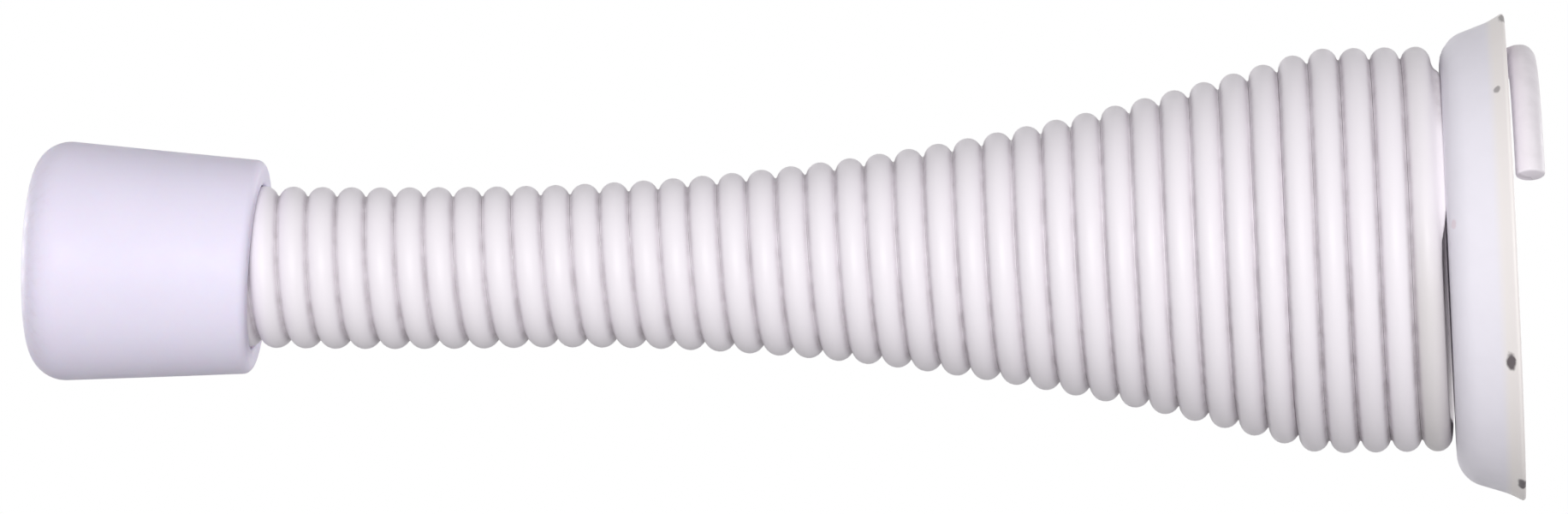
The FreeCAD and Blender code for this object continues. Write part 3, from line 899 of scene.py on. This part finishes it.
class DOORSTOP_OT_coil(bpy.types.Operator):
    """Wind the enamelled wire and set it in place of the CAD coil"""

    bl_idname = "doorstop.coil"
    bl_label = "Coil spring"

    def execute(self, context):
        coil = context.scene.doorstop_coil
        rings, first, last, facing = wire_rings(coil, context.scene.doorstop_cup)
        ends = lean_points(np.stack([first, last]), coil, 0.0, 0.0, 0.0)
        made = closed_mesh("wound_coil", lean_points(rings, coil, 0.0, 0.0, 0.0), ends[0], ends[1])
        add_point_values(made, "facing", np.concatenate([facing.ravel(), [1.0, 1.0]]))
        made.data.materials.append(wire_enamel(context.scene.doorstop_finishes, coil))
        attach(made, "root")
        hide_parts("coil_spring")
        return {"FINISHED"}


class DOORSTOP_OT_cup(bpy.types.Operator):
    """Press the cup, with its slot and screw hole, and set it in place of the CAD cup"""

    bl_idname = "doorstop.cup"
    bl_label = "Base cup"

    def execute(self, context):
        scene = context.scene
        made = cup_mesh("pressed_cup", scene.doorstop_coil, scene.doorstop_cup)
        made.data.materials.append(cup_enamel(scene.doorstop_finishes, scene.doorstop_cup))
        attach(made, "root")
        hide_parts("base_cup")
        return {"FINISHED"}


class DOORSTOP_OT_tip(bpy.types.Operator):
    """Mould the vinyl tip and push it over the end of the coil"""

    bl_idname = "doorstop.tip"
    bl_label = "Bumper tip"

    def execute(self, context):
        coil = context.scene.doorstop_coil
        tip = context.scene.doorstop_tip
        grip = coil.hidden_length / 2
        profile = tip_profile(tip) + np.array([grip, 0.0])
        poles = np.array([[grip - tip.tip_length, 0.0, 0.0], [grip - tip.socket_depth, 0.0, 0.0]])
        along, rise, bend = bent_axis(coil, flare_end(coil) - coil.flare_length - coil.neck_length - grip)
        rings = turned_rings(profile, tip.sides)
        drawn = eased(1.0 + (rings[..., 0] - grip) * 2 / tip.tip_length)
        rings[..., 0] += rings[..., 2] * math.tan(tip.mouth_skew) * drawn
        rings = lean_points(rings, coil, along, rise, bend)
        ends = lean_points(poles, coil, along, rise, bend)
        made = closed_mesh("moulded_tip", rings, ends[0], ends[1])
        struck = np.clip(1.0 - (profile[:, 0] - poles[0, 0]) / tip.corner_radius, 0.0, 1.0)
        struck = np.repeat(struck, tip.sides)
        add_point_values(made, "struck", np.concatenate([struck, [1.0, 0.0]]))
        made.data.materials.append(tip_vinyl(context.scene.doorstop_finishes))
        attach(made, "root")
        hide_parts("bumper_tip")
        return {"FINISHED"}


def add_camera(stage):
    """Camera at the photograph's angle: it looks at the aim point, turned toward the cup and rolled."""
    turn = stage.camera_azimuth
    back = Vector((math.sin(turn), -math.cos(turn), 0.0))
    level = Vector((math.cos(turn), math.sin(turn), 0.0))
    upright = Vector((0.0, 0.0, 1.0))
    right = level * math.cos(stage.camera_roll) - upright * math.sin(stage.camera_roll)
    up = upright * math.cos(stage.camera_roll) + level * math.sin(stage.camera_roll)
    data = bpy.data.cameras.new("photo_camera")
    data.sensor_fit = "HORIZONTAL"
    data.lens = data.sensor_width * stage.camera_distance / stage.frame_width
    data.clip_start = 10.0 * MM
    camera = bpy.data.objects.new("photo_camera", data)
    place = Vector((stage.aim_along, 0.0, stage.aim_up)) + back * stage.camera_distance
    camera.matrix_world = Matrix.Translation(place) @ Matrix((right, up, back)).transposed().to_4x4()
    bpy.context.scene.collection.objects.link(camera)
    bpy.context.scene.camera = camera


def seen_share(nodes, links):
    """Output that is 1 for what the camera sees, straight or in a reflection, and 0 for light on pieces."""
    path = nodes.new("ShaderNodeLightPath")
    share = path.outputs["Is Camera Ray"]
    for name in ("Is Glossy Ray", "Is Transmission Ray"):
        larger = nodes.new("ShaderNodeMath")
        larger.operation = "MAXIMUM"
        links.new(share, larger.inputs[0])
        links.new(path.outputs[name], larger.inputs[1])
        share = larger.outputs[0]
    return share


def add_floor(stage):
    """Round pale floor: one face on points of a circle round the middle of the object."""
    around = np.linspace(0.0, math.tau, stage.floor_sides, endpoint=False)
    points = np.stack([
        stage.aim_along + stage.floor_radius * np.cos(around),
        stage.floor_radius * np.sin(around),
        np.full(stage.floor_sides, -stage.floor_drop),
    ], axis=1)
    mesh = bpy.data.meshes.new("floor")
    mesh.from_pydata(points.tolist(), [], [list(range(stage.floor_sides))])
    floor = bpy.data.objects.new("floor", mesh)
    finish = Finish("floor_paper")
    finish.give("Base Color", (0.7, 0.7, 0.7, 1.0))
    finish.give("Roughness", 0.9)
    finish.give("Emission Color", (1.0, 1.0, 1.0, 1.0))
    glow = finish.math("MULTIPLY", seen_share(finish.nodes, finish.links), stage.floor_glow)
    finish.give("Emission Strength", glow)
    floor.data.materials.append(finish.material)
    bpy.context.scene.collection.objects.link(floor)


def add_lamp(stage, name, turn, power):
    """Soft light from far off, at a turn from the front and a little above the object."""
    data = bpy.data.lights.new(name, "SUN")
    data.angle = stage.lamp_spread
    data.energy = power
    lamp = bpy.data.objects.new(name, data)
    level = Vector((math.sin(turn), -math.cos(turn), 0.0))
    upright = Vector((0.0, 0.0, 1.0))
    back = level * math.cos(stage.lamp_elevation) + upright * math.sin(stage.lamp_elevation)
    lamp.rotation_euler = back.to_track_quat("Z", "Y").to_euler()
    bpy.context.scene.collection.objects.link(lamp)


def add_lights(stage):
    """Soft lights from the front and from both sides behind, with even light from a white surround."""
    add_lamp(stage, "front_light", stage.key_azimuth, stage.key_power)
    add_lamp(stage, "rear_light_right", stage.rear_azimuth, stage.rear_power)
    add_lamp(stage, "rear_light_left", -stage.rear_azimuth, stage.rear_power)
    world = bpy.data.worlds.new("white_surround")
    bpy.context.scene.world = world
    world.use_nodes = True
    nodes = world.node_tree.nodes
    links = world.node_tree.links
    strength = nodes.new("ShaderNodeMapRange")
    strength.inputs["To Min"].default_value = stage.ambient
    strength.inputs["To Max"].default_value = 1.0
    links.new(seen_share(nodes, links), strength.inputs["Value"])
    surround = nodes["Background"]
    surround.inputs["Color"].default_value = (1.0, 1.0, 1.0, 1.0)
    links.new(strength.outputs["Result"], surround.inputs["Strength"])


class DOORSTOP_OT_stage(bpy.types.Operator):
    """Set up the camera, the floor and the lights"""

    bl_idname = "doorstop.stage"
    bl_label = "Stage"

    def execute(self, context):
        stage = context.scene.doorstop_stage
        add_camera(stage)
        add_floor(stage)
        add_lights(stage)
        context.scene.view_settings.view_transform = "Standard"
        return {"FINISHED"}


class DOORSTOP_PT_panel(bpy.types.Panel):
    """Buttons for the pieces and the stage"""

    bl_idname = "DOORSTOP_PT_panel"
    bl_label = "Door stop"
    bl_space_type = "VIEW_3D"
    bl_region_type = "UI"
    bl_category = "Door stop"

    def draw(self, context):
        for operator in OPERATORS:
            self.layout.operator(operator.bl_idname)
        for group in SETTINGS:
            settings = getattr(context.scene, group)
            box = self.layout.box()
            for name in settings.__annotations__:
                box.prop(settings, name)


SETTINGS = {
    "doorstop_coil": CoilSizes,
    "doorstop_cup": CupSizes,
    "doorstop_tip": TipSizes,
    "doorstop_finishes": Finishes,
    "doorstop_stage": StageSizes,
}
OPERATORS = (DOORSTOP_OT_coil, DOORSTOP_OT_cup, DOORSTOP_OT_tip, DOORSTOP_OT_stage)


def register():
    for name, group in SETTINGS.items():
        bpy.utils.register_class(group)
        setattr(bpy.types.Scene, name, bpy.props.PointerProperty(type=group))
    for operator in OPERATORS:
        bpy.utils.register_class(operator)
    bpy.utils.register_class(DOORSTOP_PT_panel)


def unregister():
    bpy.utils.unregister_class(DOORSTOP_PT_panel)
    for operator in reversed(OPERATORS):
        bpy.utils.unregister_class(operator)
    for name, group in reversed(SETTINGS.items()):
        delattr(bpy.types.Scene, name)
        bpy.utils.unregister_class(group)


def main():
    """Build every piece and the stage."""
    register()
    bpy.ops.doorstop.coil()
    bpy.ops.doorstop.cup()
    bpy.ops.doorstop.tip()
    bpy.ops.doorstop.stage()


if __name__ == "__main__":
    main()
